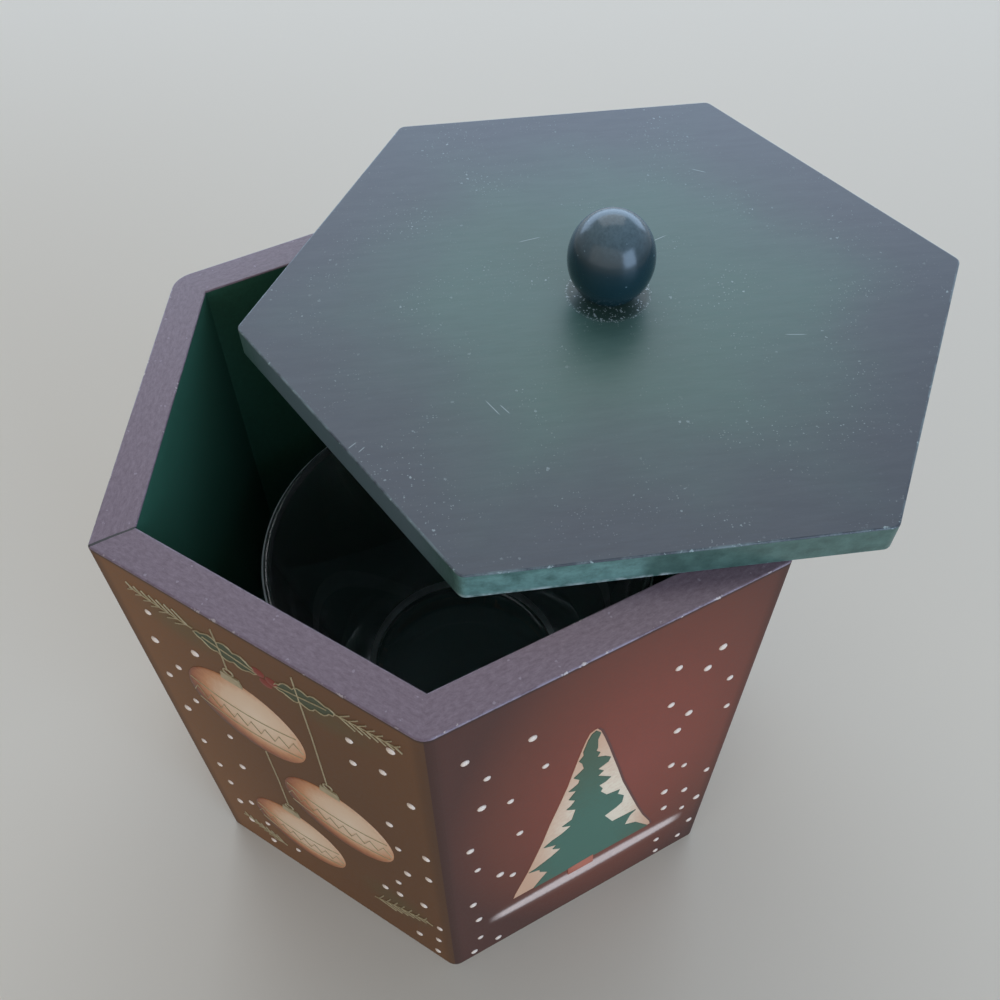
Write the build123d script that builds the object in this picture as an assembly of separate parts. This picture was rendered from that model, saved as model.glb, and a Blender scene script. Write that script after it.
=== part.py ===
import os
from math import cos, radians, sin, sqrt

from build123d import *

# Hexagonal wooden box with a loose flat lid and a loose glass liner, in millimetres.
# The origin is the middle of the underside, +Z is up and the front board faces -Y.

# Box of six mitred boards, named by the way they face, counter-clockwise from the front
board_names = ["front", "front_right", "back_right", "back", "back_left", "front_left"]
front_facing = -90.0
box_across_flats = 130.0
box_height = 136.0
board_thickness = 8.0
rim_edge_round = 0.4

# The upright corners are sanded by hand, each to its own radius: the first one stands between
# the front and front_right boards, the others follow counter-clockwise
corner_rounds = [2.0, 2.0, 3.0, 6.0, 1.2, 3.5]

# Base board, let into a rebate round the lower inside edge
base_thickness = 12.0
rebate_depth = 4.0
base_play = 0.1

# Lid, lying askew on the rim
lid_overhang = 3.5
lid_thickness = 7.0
lid_corner_round = 2.2
lid_edge_round = 0.4
lid_shift_x = 41.8
lid_shift_y = 6.7
lid_turn = -20.8

# Egg-shaped knob, cut flat where it stands on the lid
knob_width = 18.5
knob_height = 20.2
knob_foot_width = 8.4

# Countersunk screw that holds the knob from below
screw_diameter = 3.0
screw_length = 16.0
screw_head_diameter = 6.0
screw_tip_length = 3.0
screw_point_diameter = 0.4
drive_width = 0.8
drive_span = 3.2
drive_depth = 0.9
screw_hole_play = 0.25
screw_thread_play = 0.05
screw_seat_play = 0.1
screw_tip_room = 1.0

# Glass liner, standing on the base board
glass_side_gap = 9.2
glass_height = 74.0
glass_wall = 2.6
glass_foot_diameter = 62.0
glass_heel = 5.6
glass_floor_thickness = 16.0
glass_belly = 3.0
glass_foot_ring = 6.0
glass_punt = 1.0

# Worked out from the sizes above
side_count = len(board_names)
board_angle = 360 / side_count
inner_across_flats = box_across_flats - 2 * board_thickness
lid_across_flats = box_across_flats + 2 * lid_overhang
lid_place = Pos(lid_shift_x, lid_shift_y, box_height) * Rot(0, 0, lid_turn)
knob_place = lid_place * Pos(0, 0, lid_thickness)
glass_rim_radius = inner_across_flats / 2 - glass_side_gap
screw_radius = screw_diameter / 2
screw_in_knob = screw_length - lid_thickness


def hexagon(across_flats, corner_round=0.0):
    outline = RegularPolygon(across_flats / 2, side_count, major_radius=False)
    if corner_round > 0:
        outline = fillet(outline.vertices(), corner_round)
    return outline


def polar(radius, angle):
    return (radius * cos(radians(angle)), radius * sin(radians(angle)))


def box_outline():
    outline = hexagon(box_across_flats)
    corner_reach = box_across_flats / 2 / cos(radians(board_angle / 2))
    for number, corner_round in enumerate(corner_rounds):
        corner = polar(corner_reach, front_facing + board_angle * (number + 0.5))
        vertex = outline.vertices().sort_by_distance(corner)[0]
        outline = fillet(vertex, corner_round)
    return outline


# The whole wall with its rebate and softened rim, before it is cut at the mitres
def wall_ring():
    ring = extrude(box_outline(), box_height)
    ring -= extrude(hexagon(inner_across_flats), box_height)
    ring -= extrude(hexagon(inner_across_flats + 2 * rebate_depth), base_thickness)
    rim_edges = ring.faces().sort_by(Axis.Z)[-1].edges()
    return fillet(rim_edges, rim_edge_round)


# One board: the slice of the wall between two mitre planes through the box axis
def side_board(ring, facing):
    reach = box_across_flats
    corners = [(0, 0), polar(reach, facing - board_angle / 2), polar(reach, facing + board_angle / 2)]
    return ring & extrude(make_face(Polyline(*corners, close=True)), box_height)


def base_board():
    return extrude(hexagon(inner_across_flats + 2 * (rebate_depth - base_play)), base_thickness)


# Countersunk hole cutter or screw head: a cone from the head's width down to the shank's
def countersink(head_radius, shank_radius):
    depth = head_radius - shank_radius
    return Pos(0, 0, depth / 2) * Cone(head_radius, shank_radius, depth)


def upright_cylinder(radius, low, high):
    return Pos(0, 0, (low + high) / 2) * Cylinder(radius, high - low)


def lid_board():
    plate = extrude(hexagon(lid_across_flats, lid_corner_round), lid_thickness)
    flat_faces = plate.faces().sort_by(Axis.Z)
    plate = fillet(flat_faces[0].edges() + flat_faces[-1].edges(), lid_edge_round)
    hole_radius = screw_radius + screw_hole_play
    plate -= upright_cylinder(hole_radius, 0, lid_thickness)
    plate -= countersink(screw_head_diameter / 2 + screw_seat_play, hole_radius)
    return lid_place * plate


# Half an ellipse turned about the knob's axis, with its foot at height zero
def knob():
    half_width = knob_width / 2
    foot_radius = knob_foot_width / 2
    foot_drop = sqrt(1 - (foot_radius / half_width) ** 2)
    half_height = knob_height / (1 + foot_drop)
    middle = half_height * foot_drop
    ball = Pos(0, 0, middle) * scale(Sphere(half_width), (1, 1, half_height / half_width))
    ball &= upright_cylinder(knob_width, 0, knob_height + half_height)
    ball -= upright_cylinder(screw_radius + screw_thread_play, 0, screw_in_knob + screw_tip_room)
    return knob_place * ball


def knob_screw():
    shank_end = screw_length - screw_tip_length
    screw = upright_cylinder(screw_radius, 0, shank_end)
    screw += countersink(screw_head_diameter / 2, screw_radius)
    tip_middle = shank_end + screw_tip_length / 2
    screw += Pos(0, 0, tip_middle) * Cone(screw_radius, screw_point_diameter / 2, screw_tip_length)
    for turn in (0, 90):
        screw -= Pos(0, 0, drive_depth / 2) * Rot(0, 0, turn) * Box(drive_span, drive_width, drive_depth)
    return lid_place * screw


# Flared glass with a thick floor, a shallow hollow under its foot and a round lip
def glass_liner():
    foot_radius = glass_foot_diameter / 2
    lip = glass_wall / 2
    lip_height = glass_height - lip
    foot_inside = (foot_radius - glass_foot_ring, 0)
    foot_outside = (foot_radius, 0)
    rim_outside = (glass_rim_radius, lip_height)
    rim_top = (glass_rim_radius - lip, glass_height)
    rim_inside = (glass_rim_radius - glass_wall, lip_height)
    floor_edge = (foot_radius - glass_heel, glass_floor_thickness)
    outline = [
        Line((0, glass_punt), foot_inside),
        Line(foot_inside, foot_outside),
        SagittaArc(foot_outside, rim_outside, -glass_belly),
        ThreePointArc(rim_outside, rim_top, rim_inside),
        SagittaArc(rim_inside, floor_edge, glass_belly),
        Line(floor_edge, (0, glass_floor_thickness)),
        Line((0, glass_floor_thickness), (0, glass_punt)),
    ]
    section = Plane.XZ * make_face(outline)
    return Pos(0, 0, base_thickness) * revolve(section, Axis.Z)


def main():
    ring = wall_ring()
    pieces = {}
    for number, name in enumerate(board_names):
        pieces["side_board_" + name] = side_board(ring, front_facing + board_angle * number)
    pieces["base_board"] = base_board()
    pieces["lid_board"] = lid_board()
    pieces["knob"] = knob()
    pieces["knob_screw"] = knob_screw()
    pieces["glass_liner"] = glass_liner()
    os.makedirs("parts", exist_ok=True)
    for name, piece in pieces.items():
        export_step(piece, f"parts/{name}.step")
        print(name, round(piece.volume, 1))


main()
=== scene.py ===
import math
from functools import partial

import bpy
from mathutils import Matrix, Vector


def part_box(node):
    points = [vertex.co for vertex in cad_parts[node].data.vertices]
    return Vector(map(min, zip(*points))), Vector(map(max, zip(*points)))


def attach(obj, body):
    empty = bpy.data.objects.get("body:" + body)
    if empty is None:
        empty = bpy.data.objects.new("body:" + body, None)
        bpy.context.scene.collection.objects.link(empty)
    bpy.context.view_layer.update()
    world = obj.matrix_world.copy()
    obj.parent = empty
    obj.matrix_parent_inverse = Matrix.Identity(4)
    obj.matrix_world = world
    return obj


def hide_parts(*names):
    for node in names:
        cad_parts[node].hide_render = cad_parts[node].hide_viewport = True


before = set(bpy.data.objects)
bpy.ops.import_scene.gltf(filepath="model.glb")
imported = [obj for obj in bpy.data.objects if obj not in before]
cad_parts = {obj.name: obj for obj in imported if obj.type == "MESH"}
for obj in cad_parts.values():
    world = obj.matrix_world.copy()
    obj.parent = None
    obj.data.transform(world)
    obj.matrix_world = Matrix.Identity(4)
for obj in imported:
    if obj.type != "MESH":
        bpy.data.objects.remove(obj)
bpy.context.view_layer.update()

mm = 0.001
scene = bpy.context.scene
scene.view_settings.view_transform = "Standard"

# sizes read from the frame, in millimetres
frontLow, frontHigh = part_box("side_board_front")
knobLow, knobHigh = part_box("knob")
lidLow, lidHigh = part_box("lid_board")
glassLow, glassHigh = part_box("glass_liner")
apothem = -frontLow.y / mm
boardThickness = (frontHigh.y - frontLow.y) / mm
boxHeight = frontHigh.z / mm
cornerSlope = math.tan(math.radians(30))
faceHalfWidth = apothem * cornerSlope
lidCentre = (knobLow + knobHigh) / 2

# values that several pieces share
throughBoard = 4000  # reach of a pattern that runs right through a board, in mm
paintRoot = -0.05  # how far painted pieces reach into the wood, in mm, so that no gap shows under them
strokeDepth = 0.05  # depth of brush strokes and paint grain, in mm
paintIor = 1.48

boards = {  # facing angle, painted scheme, and the end where the mitre has opened (1 or -1, 0 for none)
    "front": (-90, "tree", 0),
    "front_right": (-30, "bauble", 0),
    "back_right": (30, "tree", 0),
    "back": (90, "bauble", 0),
    "back_left": (150, "tree", 1),
    "front_left": (-150, "bauble", -1),
}


def facingsOf(scheme):
    return [facing for facing, painted, end in boards.values() if painted == scheme]


print("frame loaded: box", round(2 * apothem, 1), "mm across flats,", round(boxHeight, 1), "mm tall")


# shared helpers

def linearColour(hexText):
    channels = [int(hexText[i:i + 2], 16) / 255 for i in (1, 3, 5)]
    return tuple(c / 12.92 if c <= 0.04045 else ((c + 0.055) / 1.055) ** 2.4 for c in channels) + (1.0,)


def shownOutput(node):
    return next(socket for socket in node.outputs if socket.enabled)


def setSockets(node, settings):
    links = node.id_data.links
    for name, value in settings.items():
        if name in ("From", "To"):  # both ends of a mapped range
            setSockets(node, {name + " Min": value[0], name + " Max": value[1]})
            continue
        if name == "stops":  # colour ramp: (position, hex colour)
            elements = node.color_ramp.elements
            while len(elements) < len(value):
                elements.new(1.0)
            for element, (position, hexText) in zip(elements, value):
                element.position = position
                element.color = linearColour(hexText)
            continue
        if isinstance(name, int):
            socket = node.inputs[name]
        else:
            socket = next((s for s in node.inputs if s.enabled and s.name == name), None)
        if socket is None:
            setattr(node, name, value)
        elif isinstance(value, bpy.types.Node):
            links.new(shownOutput(value), socket)
        elif isinstance(value, bpy.types.NodeSocket):
            links.new(value, socket)
        elif isinstance(value, str) and socket.type == "RGBA":
            socket.default_value = linearColour(value)
        else:
            socket.default_value = value


def addNode(tree, kind, settings):  # kinds of shader nodes are given without their common prefix
    node = tree.nodes.new("ShaderNode" + kind if tree.type == "SHADER" else kind)
    setSockets(node, settings)
    return node


def newFinish(name):
    finish = bpy.data.materials.new(name)
    finish.use_nodes = True
    return finish, finish.node_tree.nodes["Principled BSDF"]


# a new finish, a function that adds nodes to it, its shader, and object coordinates in mm from a centre
def measuredFinish(name, centre=(0, 0, 0), turn=0):
    finish, shader = newFinish(name)
    add = partial(addNode, finish.node_tree)
    coords = add("TexCoord", {})
    spot = add("Mapping", {
        "vector_type": "TEXTURE", "Vector": coords.outputs["Object"],
        "Location": centre, "Rotation": (0, 0, math.radians(turn)), "Scale": (mm, mm, mm)})
    return finish, add, shader, spot


def dressNode(name, finish):  # a CAD node keeps its shape and gets a new finish
    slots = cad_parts[name].data.materials
    slots.clear()
    slots.append(finish)


def product(add, first, *others):  # masks, strengths and sizes multiplied together
    for factor in others:
        first = add("Math", {"operation": "MULTIPLY", 0: first, 1: factor})
    return first


def layer(add, below, colour, *masks):  # a coat of paint over what lies below, where all its masks meet
    return add("Mix", {"data_type": "RGBA", "Factor": product(add, *masks), "A": below, "B": colour})


def patchDistance(add, spot, centre, reach):  # 0 in the middle of a patch, 1 where it ends
    local = add("Mapping", {"vector_type": "TEXTURE", "Vector": spot, "Location": centre, "Scale": reach})
    return add("VectorMath", {"operation": "LENGTH", 0: local}).outputs["Value"]


def softBlob(add, spot, centre, reach, fade):  # 1 in the middle of an airbrushed patch, 0 outside it
    return add("MapRange", {
        "interpolation_type": "SMOOTHSTEP", "Value": patchDistance(add, spot, centre, reach),
        "From": (fade, 1.0), "To": (1.0, 0.0)})


# a soft stroke along x, turned about z in degrees: 1 on its middle line and as far out as its core
def softBar(add, spot, centre, reach, endFade, turn=0, taper=0.0, core=0.0):
    local = add("Mapping", {
        "vector_type": "TEXTURE", "Vector": spot, "Location": centre,
        "Rotation": (0, 0, math.radians(turn)), "Scale": reach})
    sides = add("VectorMath", {"operation": "ABSOLUTE", 0: local})
    along, across, deep = add("SeparateXYZ", {0: sides}).outputs
    widest = add("Math", {"operation": "MAXIMUM", 0: across, 1: deep})
    slim = add("Math", {"operation": "POWER", 0: along, 1: 2.0})
    widest = add("Math", {"operation": "MULTIPLY_ADD", 0: slim, 1: taper, 2: widest})
    fades = [
        add("MapRange", {
            "interpolation_type": "SMOOTHSTEP", "Value": distance, "From": (start, 1.0), "To": (1.0, 0.0)})
        for distance, start in ((along, endFade), (widest, core))]
    return product(add, *fades)


wearLook = {
    "chipFall": (0.095, -0.3),  # what the grit gains at an edge and loses at the end of its reach
    "chipEdge": (0.63, 0.68), "broken": (0.42, 0.58), "firmShare": 0.4,
}


def chipMask(add, spot, distance, reach, grainSize):  # ragged bare spots that thin out away from an edge
    grit = add("TexNoise", {"Vector": spot, "Scale": 1 / grainSize, "Detail": 4.0, "Roughness": 0.65})
    near = add("MapRange", {"Value": distance, "From": (0.0, reach), "To": wearLook["chipFall"]})
    raised = add("Math", {"operation": "ADD", 0: grit.outputs["Fac"], 1: near})
    return add("MapRange", {"Value": raised, "From": wearLook["chipEdge"]})


def brokenEdgeLine(add, spot, distance, width, stretch):  # thin line on an edge, broken along its length
    wear = add("TexNoise", {"Vector": spot, "Scale": 1 / stretch, "Detail": 6.0, "Roughness": 0.75})
    broken = add("MapRange", {"Value": wear.outputs["Fac"], "From": wearLook["broken"]})
    line = add("MapRange", {
        "Value": distance, "From": (wearLook["firmShare"] * width, width), "To": (1.0, 0.0)})
    return product(add, broken, line)


def speckMask(add, spot, spacing, size, kept):  # dust: small ragged dots in a share of the cells
    grit = add("TexNoise", {"Vector": spot, "Scale": 1 / (1.5 * size), "Detail": 1.0})
    shift = add("VectorMath", {
        "operation": "MULTIPLY_ADD", 0: grit.outputs["Color"], 1: (2 * size,) * 3, 2: (-size,) * 3})
    bent = add("VectorMath", {"operation": "ADD", 0: spot, 1: shift})
    cells = add("TexVoronoi", {"Vector": bent, "Scale": 1 / spacing, "Randomness": 1.0})
    chance = add("SeparateColor", {"Color": cells.outputs["Color"]})
    chosen = add("Math", {"operation": "LESS_THAN", 0: chance.outputs["Red"], 1: kept})
    radius = product(add, chance.outputs["Green"], size / spacing)
    inside = add("Math", {"operation": "LESS_THAN", 0: cells.outputs["Distance"], 1: radius})
    return product(add, inside, chosen)


def paintBump(add, spot, grainSize, strokeLength, strength):  # brush strokes and fine paint grain
    grain = add("TexNoise", {"Vector": spot, "Scale": 1 / grainSize, "Detail": 3.0})
    stretched = add("Mapping", {
        "vector_type": "TEXTURE", "Vector": spot, "Scale": (strokeLength, grainSize, grainSize * 2)})
    strokes = add("TexNoise", {"Vector": stretched, "Scale": 1.0, "Detail": 2.0})
    both = add("Math", {"operation": "ADD", 0: grain.outputs["Fac"], 1: strokes.outputs["Fac"]})
    return add("Bump", {"Strength": strength, "Distance": strokeDepth * mm, "Height": both})


def newPiece(name, vertices, faces, finish, smooth=True):
    mesh = bpy.data.meshes.new(name)
    mesh.from_pydata(vertices, [], faces)
    mesh.validate()
    mesh.materials.append(finish)
    mesh.shade_smooth() if smooth else mesh.shade_flat()
    piece = bpy.data.objects.new(name, mesh)
    scene.collection.objects.link(piece)
    return piece


def outwardOf(facing):
    return Vector((math.cos(math.radians(facing)), math.sin(math.radians(facing)), 0))


def onBoard(facing, across, height, lift):  # a place on a board's outer face, in metres
    outward = outwardOf(facing)
    along = Vector((-outward.y, outward.x, 0))
    return (outward * (apothem + lift) + along * across + Vector((0, 0, height))) * mm


# painted wood; a bump is given as its grain size and stroke length in mm and its strength

boardLook = {
    "rim": "#5c4852", "rimPale": "#83707b", "rimSpeck": "#a99ca7", "inside": "#356250",
    # the pale edge colour paints a highlight along the rim's outer edge
    "underside": "#5d5044", "chip": "#c9bcb8", "paleEdge": "#a99cac", "seam": "#120e0d",
    "cornerDark": "#372a25",
    "skin": 0.2, "rimDepth": 0.3,  # how deep the colours of the inside and underside, and of the rim, reach
    "cornerShade": (0.3, 3.2, 0.55), "edgeShade": (0.3, 1.3, 0.9),  # start, end and strength at the edge
    "mistSize": 0.9, "mistTone": (0.88, 1.12), "roughness": (0.54, 0.68),
    "rimFibres": (1.7, 0.7, 2), "rimSpecks": (1.0, 0.3, 0.1), "rimSpeckShare": 0.4,
    "rimGloss": 0.55, "rimSmoother": -0.2, "bump": (0.5, 9.0, 0.3),
    "paleEdgeSize": (0.45, 7.0), "paleEdgeShare": {"tree": 0.6, "bauble": 0.12},  # width and stretch of its breaks
    "chipSize": (1.3, 1.5), "chipShare": {"tree": 1.0, "bauble": 0.6},  # reach and grain
    "cornerSlack": 0.5, "seamWidth": 0.3, "seamWaver": 2.5,
}
treeGround = {
    "glow": ((0.0, "#8a4a3e"), (0.4, "#814639"), (0.75, "#6d4034"), (1.0, "#543730")),
    "glowCentre": (9, 0, 76), "glowReach": (45, throughBoard, 84),
    "snow": "#ead3c8", "snowCentre": (2.8, 0, 23.5), "snowLength": 29.5, "snowEnds": 0.82,
    "snowTaper": 0.3, "snowGrit": 0.8, "snowSpray": 2.0,
    "snowStrokes": ((7.5, 0.14, 0.0), (4.1, 0.8, 0.45)),  # half width, strength and firm core of each pass
}
baubleGround = {
    "brown": ((0.0, "#62442d"), (0.5, "#6a4930"), (1.0, "#7c5638")),
    "middle": (16, 0, 72), "reach": (52, throughBoard, 120),
    "olive": "#57583a", "oliveShare": 0.4,
    "olivePatches": (((-18, 0, 124), (15, throughBoard, 9)), ((16, 0, 122), (15, throughBoard, 9)),
                     ((21, 0, 27), (14, throughBoard, 13))),
}


def treeBoardColour(add, spot):
    look = treeGround
    colour = add("ValToRGB", {
        "Fac": patchDistance(add, spot, look["glowCentre"], look["glowReach"]), "stops": look["glow"]})
    grit = add("TexNoise", {
        "Vector": spot, "Scale": 1 / look["snowGrit"], "Detail": 4.0, "Roughness": 0.75})
    spray = add("VectorMath", {
        "operation": "MULTIPLY_ADD", 0: grit.outputs["Color"], 1: (look["snowSpray"],) * 3, 2: spot})
    for halfWidth, amount, core in look["snowStrokes"]:
        reach = (look["snowLength"], throughBoard, halfWidth)
        stroke = softBar(add, spray, look["snowCentre"], reach, look["snowEnds"],
                         taper=look["snowTaper"], core=core)
        colour = layer(add, colour, look["snow"], stroke, amount)
    return colour


def baubleBoardColour(add, spot):
    look = baubleGround
    colour = add("ValToRGB", {
        "Fac": patchDistance(add, spot, look["middle"], look["reach"]), "stops": look["brown"]})
    for centre, reach in look["olivePatches"]:
        patch = softBlob(add, spot, centre, reach, 0.0)
        colour = layer(add, colour, look["olive"], patch, look["oliveShare"])
    return colour


# matt acrylic paint over sanded wood: low soft gloss, faint strokes, pale chips where edges rub, and a pale
# line on the rim's outer edge that is a painted highlight
def boardPaint(name, facing, scheme, openEnd):
    look = boardLook
    finish, add, shader, spot = measuredFinish(name, turn=facing + 90)
    across, depth, height = add("SeparateXYZ", {0: spot}).outputs
    sideways = add("Math", {"operation": "ABSOLUTE", 0: across})
    drop = add("Math", {"operation": "SUBTRACT", 0: boxHeight, 1: height})
    inset = add("Math", {"operation": "ADD", 0: depth, 1: apothem})
    corner = add("Math", {"operation": "SUBTRACT", 0: faceHalfWidth, 1: sideways})
    corner = add("Math", {"operation": "ADD", 0: corner, 1: inset})

    # outside: the scheme's ground, darker along the corners and the upper edge, in a fine mist
    outside = treeBoardColour(add, spot) if scheme == "tree" else baubleBoardColour(add, spot)
    for distance, (start, end, strength) in ((corner, look["cornerShade"]), (drop, look["edgeShade"])):
        darker = add("MapRange", {"Value": distance, "From": (start, end), "To": (strength, 0.0)})
        outside = layer(add, outside, look["cornerDark"], darker)
    mist = add("TexNoise", {
        "Vector": spot, "Scale": 1 / look["mistSize"], "Detail": 5.0, "Roughness": 0.7})
    shade, gloss = [
        add("MapRange", {"Value": mist.outputs["Fac"], "From": (0.3, 0.7), "To": tones})
        for tones in (look["mistTone"], look["roughness"])]
    outside = add("VectorMath", {"operation": "SCALE", 0: shownOutput(outside), "Scale": shade})

    # inside face, rim with its fine streaks and specks, underside
    insideMask = add("Math", {"operation": "GREATER_THAN", 0: inset, 1: boardThickness - look["skin"]})
    rimMask = add("Math", {"operation": "GREATER_THAN", 0: height, 1: boxHeight - look["rimDepth"]})
    underMask = add("Math", {"operation": "LESS_THAN", 0: height, 1: look["skin"]})
    fibres = add("Mapping", {"vector_type": "TEXTURE", "Vector": spot, "Scale": look["rimFibres"]})
    rimCloud = add("TexNoise", {"Vector": fibres, "Scale": 1.0, "Detail": 8.0, "Roughness": 0.85})
    rimTone = add("MapRange", {"Value": rimCloud.outputs["Fac"], "From": (0.35, 0.65)})
    rimColour = layer(add, look["rim"], look["rimPale"], rimTone)
    rimSpecks = speckMask(add, spot, *look["rimSpecks"])
    rimColour = layer(add, rimColour, look["rimSpeck"], rimSpecks, look["rimSpeckShare"])
    inside = add("VectorMath", {
        "operation": "SCALE", 0: linearColour(look["inside"])[:3], "Scale": shade})
    colour = layer(add, outside, inside, insideMask)
    colour = layer(add, colour, rimColour, rimMask)
    colour = layer(add, colour, look["underside"], underMask)

    # edges: a pale broken line on the rim's outer edge, a painted highlight; worn chips on both rim edges
    # and the upright corners
    outerEdge = add("Math", {"operation": "ADD", 0: drop, 1: inset})
    inward = add("Math", {"operation": "SUBTRACT", 0: boardThickness, 1: inset})
    innerEdge = add("Math", {"operation": "ADD", 0: drop, 1: inward})
    cornerEdge = add("Math", {"operation": "ADD", 0: corner, 1: look["cornerSlack"]})
    # painted highlight: a pale broken line along the rim's outer edge, for the shine of its rounded edge
    paleEdge = brokenEdgeLine(add, spot, outerEdge, *look["paleEdgeSize"])
    colour = layer(add, colour, look["paleEdge"], paleEdge, look["paleEdgeShare"][scheme])
    nearest = outerEdge
    for edge in (innerEdge, cornerEdge):
        nearest = add("Math", {"operation": "MINIMUM", 0: nearest, 1: edge})
    chips = chipMask(add, spot, nearest, *look["chipSize"])
    colour = layer(add, colour, look["chip"], chips, look["chipShare"][scheme])

    if openEnd:  # the glue line has opened here and shows as a dark crack
        mitre = product(add, depth, -cornerSlope)
        end = add("Math", {"operation": "MULTIPLY_ADD", 0: across, 1: -openEnd, 2: mitre})
        waver = add("TexNoise", {"Vector": spot, "Scale": 1 / look["seamWaver"], "Detail": 4.0})
        width = product(add, waver.outputs["Fac"], 2 * look["seamWidth"])
        seam = add("Math", {"operation": "LESS_THAN", 0: end, 1: width})
        colour = layer(add, colour, look["seam"], seam)

    gloss = add("Math", {"operation": "MULTIPLY_ADD", 0: rimMask, 1: look["rimSmoother"], 2: gloss})
    setSockets(shader, {
        "Base Color": colour, "Roughness": gloss, "IOR": paintIor, "Specular IOR Level": 0.2,
        "Coat Weight": product(add, rimMask, look["rimGloss"]), "Coat Roughness": 0.38, "Coat IOR": 1.5,
        "Normal": paintBump(add, spot, *look["bump"])})
    return finish


for boardName, (facing, scheme, openEnd) in boards.items():
    dressNode("side_board_" + boardName, boardPaint("acrylicPaint_" + boardName, facing, scheme, openEnd))
print("side boards painted")


baseLook = {
    "paint": "#53706b", "wood": ((0.3, "#6d5940"), (0.7, "#9c8462")), "fibres": (40, 1.6, 10),
    "skin": 0.2, "bump": (0.6, 12.0, 0.2),
}


# base board: dark green paint above, bare sanded wood underneath
def basePaint():
    look = baseLook
    finish, add, shader, spot = measuredFinish("paintedBaseWood")
    height = add("SeparateXYZ", {0: spot}).outputs["Z"]
    fibres = add("Mapping", {"vector_type": "TEXTURE", "Vector": spot, "Scale": look["fibres"]})
    grain = add("TexNoise", {"Vector": fibres, "Scale": 1.0, "Detail": 4.0})
    wood = add("ValToRGB", {"Fac": grain.outputs["Fac"], "stops": look["wood"]})
    underMask = add("Math", {"operation": "LESS_THAN", 0: height, 1: look["skin"]})
    setSockets(shader, {
        "Base Color": layer(add, look["paint"], wood, underMask), "Roughness": 0.5, "IOR": paintIor,
        "Normal": paintBump(add, spot, *look["bump"])})
    return finish


dressNode("base_board", basePaint())
print("base board painted")


# lid

lidLook = {
    "turn": -20.8,  # how the loose lid lies askew on the rim, in degrees
    "green": "#46655d", "plum": "#3c434c", "plumFade": (0, 46),  # how far in the plum turns green
    "cloudSize": 30, "cloudShift": 15.0, "strokes": (5, 0.9, 4), "strokeTone": (0.95, 1.05),
    "roughness": (0.33, 0.41), "bump": (0.5, 5.0, 0.14),
    "side": "#527169", "sideShade": "#3c5851", "underside": "#33504a", "skin": 0.15,
    "upperFrom": -0.2, "sideFrom": -0.32,  # heights under the upper face, past its rounded edge
    # painted reflection: the sides turn lighter and bluer towards one corner, where the sky reflects
    "sideReflection": "#6c7c84", "sideReflectionCentre": (-59, -34, -3.5), "sideReflectionReach": (42, 42, 12),
    "sideReflectionFade": 0.55, "sideReflectionShare": 0.85,
    "worn": "#8ab2ab", "wornCentre": (-26, -70, -3.5), "wornReach": (21.5, 4, 5.5),
    "bare": "#e6efed", "bareCentre": (-24, -70, -7), "bareReach": (25, 4, 3), "wearEnds": 0.8,
    "bareLine": (1.2, 3.0), "bareShare": 0.9, "paleEdge": "#8fa4a6", "paleEdgeSize": (0.5, 9.0), "paleEdgeShare": 0.6,
    "chip": "#a3b7b7", "chipSize": (1.6, 1.3), "chipShare": 0.85,
    "dust": "#b3c1c3", "wipedScale": 0.35, "driftSize": 17,
    # spacing, size and share of the cells of each kind of speck, and its strength
    "specks": (((0.55, 0.16, 0.5), 0.4), ((1.6, 0.32, 0.25), 0.6), ((8.0, 0.62, 0.3), 0.75)),
    # the ring shade colour is painted shade under the knob
    "ringRadius": 9.0, "ringWidth": 0.9, "ringShade": "#23352f", "crumbSize": 0.55,
    "ringGrains": (0.52, 0.27, 0.7), "grainShare": 0.8, "grainMargin": 0.4,
    "scratchHalf": 0.16, "scratchShare": 0.7, "scratchEnds": 0.5,
    "scratches": (  # middle, direction in degrees, length
        ((-28.8, -29.9), -61, 5.4), ((-26.5, -30.6), -58, 3.4), ((-56.5, -35.9), 40, 2.4),
        ((-54.8, -37.2), 44, 2.0), ((14.0, 16.0), 24, 7.0), ((-14.0, 20.0), 12, 6.0),
        ((36.0, -18.0), -8, 5.0), ((30.0, 40.0), -30, 4.0)),
}
lidNormal = outwardOf(lidLook["turn"] + 30)
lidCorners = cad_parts["lid_board"].data.vertices
lidApothem = max((corner.co - lidCentre).dot(lidNormal) for corner in lidCorners) / mm
lidThickness = (lidHigh.z - lidLow.z) / mm


def lidReach(add, spot):  # distance from the lid's axis, measured square to the nearest side
    reach = None
    for angle in (30, 90, 150):
        along = add("VectorMath", {"operation": "DOT_PRODUCT", 0: spot, 1: tuple(outwardOf(angle))})
        side = add("Math", {"operation": "ABSOLUTE", 0: along.outputs["Value"]})
        reach = side if reach is None else add("Math", {"operation": "MAXIMUM", 0: reach, 1: side})
    return reach


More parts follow.
